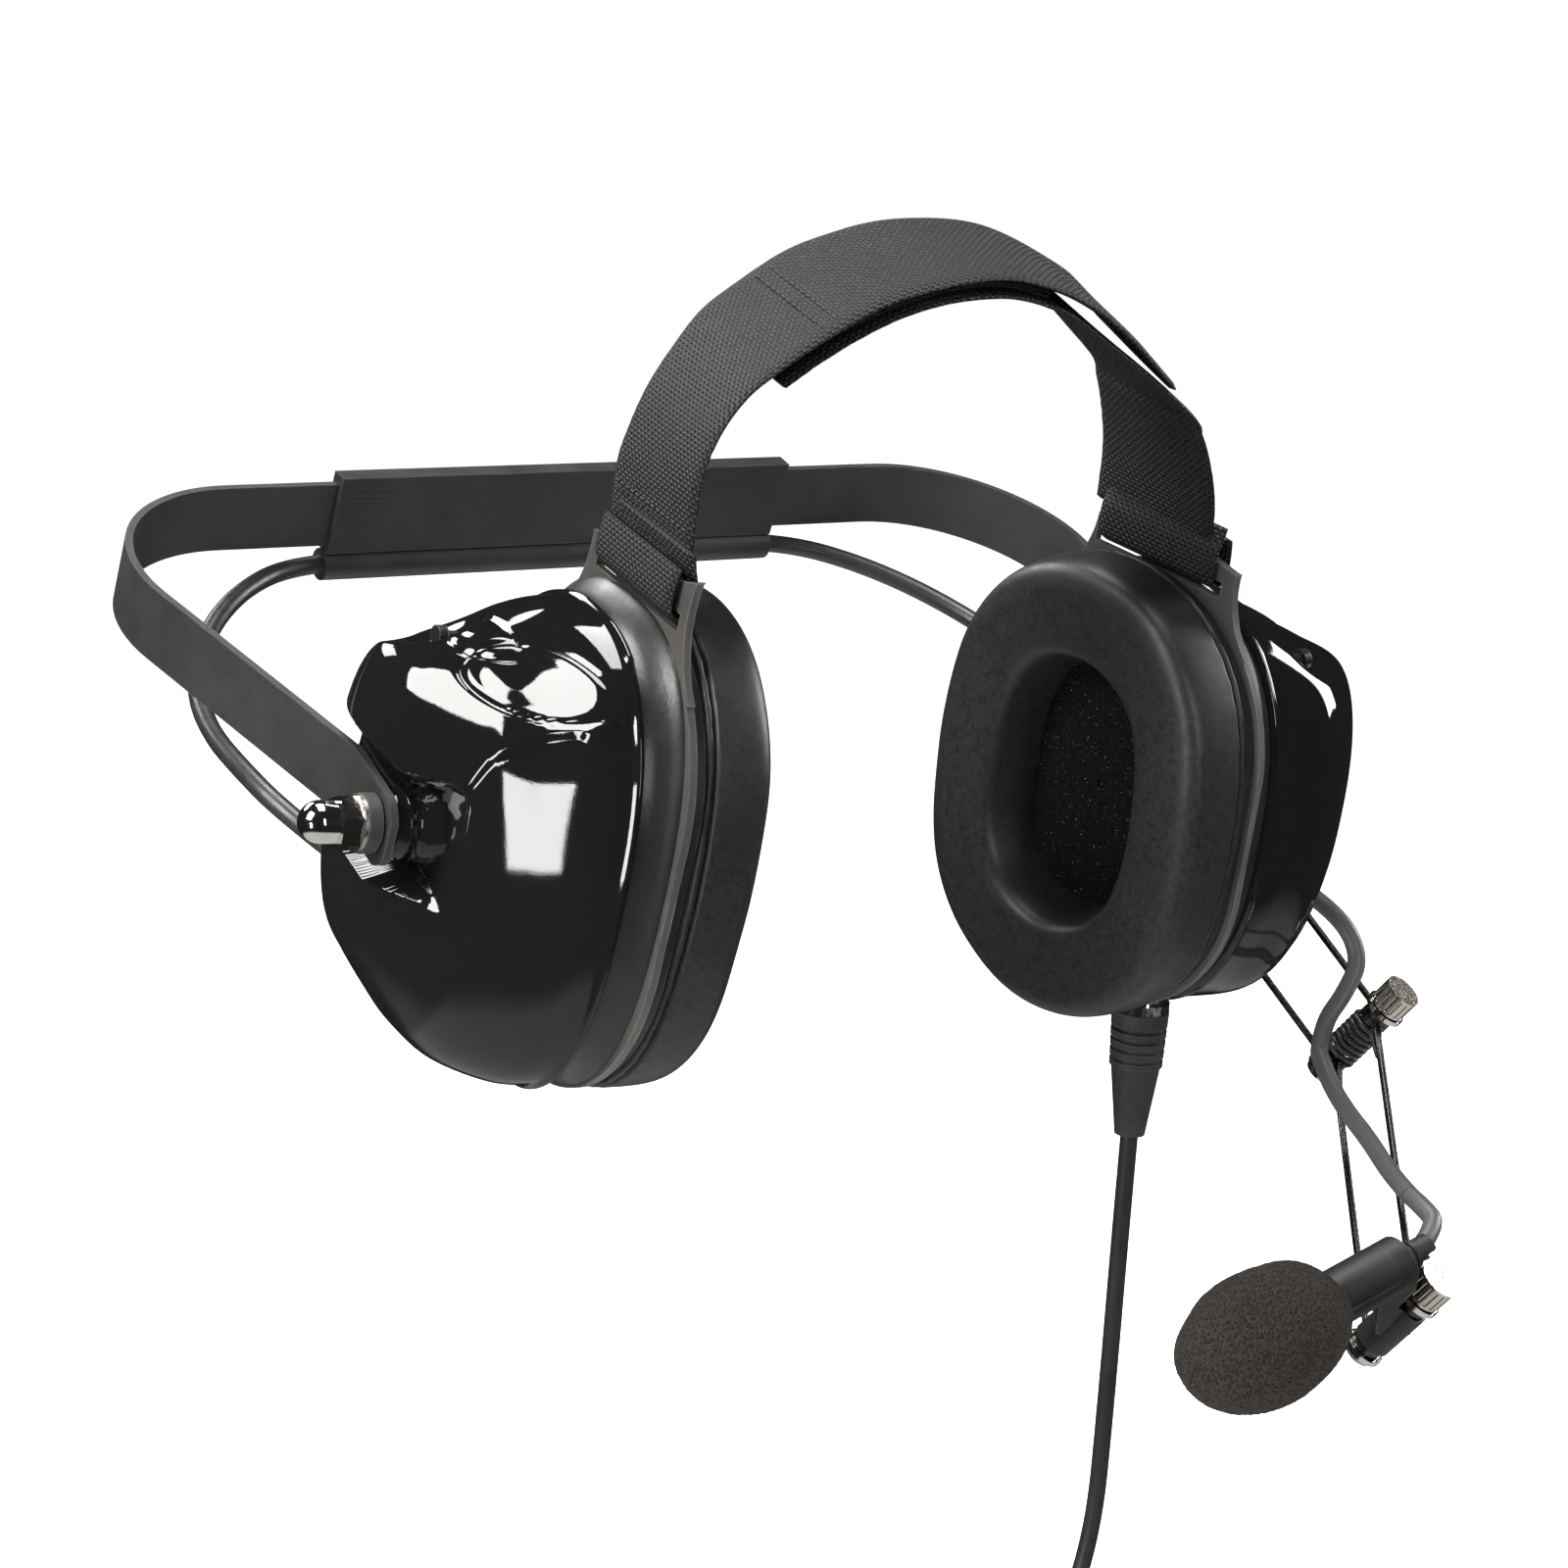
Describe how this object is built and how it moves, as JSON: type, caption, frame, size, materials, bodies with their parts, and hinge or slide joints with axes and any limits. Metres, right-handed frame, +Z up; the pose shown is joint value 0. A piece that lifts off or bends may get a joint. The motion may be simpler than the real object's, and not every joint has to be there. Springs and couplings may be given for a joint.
{
  "type": "aviation headset",
  "caption": "Over-ear headset with a rear neckband, a webbing head strap, a wire microphone boom and a plug-in cord.",
  "frame": {"origin": "centre of the wearer's head, midway between the faces of the two ear seals", "axes": "+X towards the wearer's left ear, -Y the way the wearer faces, +Z up"},
  "size_m": [0.2576, 0.2355, 0.4361],
  "materials": {
    "gloss_shell": "gloss",
    "grey_plate": "satin",
    "black_plastic": "satin",
    "leather": "satin",
    "foam": "matte",
    "driver_metal": "satin",
    "steel": "satin",
    "rubber": "matte",
    "chrome": "polished",
    "nickel": "polished",
    "black_metal": "satin",
    "cable_jacket": "satin",
    "webbing": "matte",
    "hook_tape": "matte",
    "band_black": "satin",
    "boom_wire": "satin"
  },
  "bodies": {
    "cups": {"right_ear_shell": "gloss_shell", "right_cup_collar": "grey_plate", "right_hanger_plate": "grey_plate", "right_baffle_plate": "black_plastic", "right_ear_seal": "leather", "right_foam_insert": "foam", "right_speaker_driver": "driver_metal", "right_damping_foam": "foam", "right_pivot_stud": "steel", "right_rubber_washer": "rubber", "right_steel_washer": "steel", "right_acorn_nut": "chrome", "right_cap_screw": "black_metal", "right_baffle_screws": "steel", "right_crossover_cable_end": "cable_jacket", "left_ear_shell": "gloss_shell", "left_cup_collar": "grey_plate", "left_hanger_plate": "grey_plate", "left_baffle_plate": "black_plastic", "left_ear_seal": "leather", "left_foam_insert": "foam", "left_speaker_driver": "driver_metal", "left_damping_foam": "foam", "left_pivot_stud": "steel", "left_rubber_washer": "rubber", "left_steel_washer": "steel", "left_acorn_nut": "chrome", "left_cap_screw": "black_metal", "left_baffle_screws": "steel", "left_crossover_cable_end": "cable_jacket", "left_cord_socket": "chrome", "mic_lead_gland": "black_plastic", "strap_right_half": "webbing", "strap_left_half": "webbing", "strap_hook_patch": "hook_tape", "strap_loop_patch": "hook_tape"},
    "neck_band": {"neckband": "band_black", "band_sleeve": "black_plastic", "crossover_cable_middle": "cable_jacket"},
    "boom_upper": {"boom_bracket": "black_metal", "upper_boom_wires": "boom_wire", "elbow_screw": "steel", "elbow_spring": "black_metal", "elbow_washers": "chrome", "mic_lead_upper": "cable_jacket"},
    "elbow_knob": {"elbow_thumb_nut": "nickel"},
    "boom_lower": {"lower_boom_wires": "boom_wire", "clamp_screw": "steel", "clamp_washers": "chrome", "mic_lead_middle": "cable_jacket"},
    "clamp_knob": {"clamp_thumb_nut": "nickel"},
    "microphone": {"mic_housing": "black_plastic", "mic_housing_cover": "black_plastic", "mic_capsule": "black_plastic", "mic_lead_end": "cable_jacket"},
    "windscreen": {"mic_windscreen": "foam"},
    "cord_plug_set": {"cord_plug": "rubber", "hanging_cord": "cable_jacket", "cord_coil": "cable_jacket", "far_plug": "black_plastic"}
  },
  "joints": [
    {"name": "neck_band_tilt", "type": "hinge", "parent": "cups", "child": "neck_band", "pos_m": [0, 0.00868, 0.00521], "axis": [1, 0, 0], "range_deg": [-8, 8], "deforming": ["right_crossover_cable_end", "left_crossover_cable_end"]},
    {"name": "boom_swing", "type": "hinge", "parent": "cups", "child": "boom_upper", "pos_m": [0.11498, 0.00923, 0.00561], "axis": [0.991, 0.1087, 0.0784], "range_deg": [-85, 18], "deforming": ["mic_lead_upper"]},
    {"name": "elbow_fold", "type": "hinge", "parent": "boom_upper", "child": "boom_lower", "pos_m": [0.1238, -0.0217, -0.0568], "axis": [0.2264, -0.5791, 0.7832], "range_deg": [-25, 60], "deforming": ["mic_lead_middle"]},
    {"name": "elbow_knob_turn", "type": "hinge", "parent": "boom_upper", "child": "elbow_knob", "pos_m": [0.12674, -0.02923, -0.04662], "axis": [0.2264, -0.5791, 0.7832], "continuous": true},
    {"name": "clamp_knob_turn", "type": "hinge", "parent": "boom_lower", "child": "clamp_knob", "pos_m": [0.07632, -0.09575, -0.0825], "axis": [0.2264, -0.5791, 0.7832], "continuous": true},
    {"name": "microphone_tilt", "type": "hinge", "parent": "boom_lower", "child": "microphone", "pos_m": [0.0736, -0.0888, -0.0919], "axis": [0.2264, -0.5791, 0.7832], "range_deg": [-25, 25], "deforming": ["mic_lead_end"]},
    {"name": "windscreen_pull", "type": "slide", "parent": "microphone", "child": "windscreen", "axis": [-0.9636, 0, -0.2673], "range_m": [0, 0.04]},
    {"name": "plug_pull", "type": "slide", "parent": "cups", "child": "cord_plug_set", "axis": [0, 0, -1], "range_m": [0, 0.02]}
  ]
}
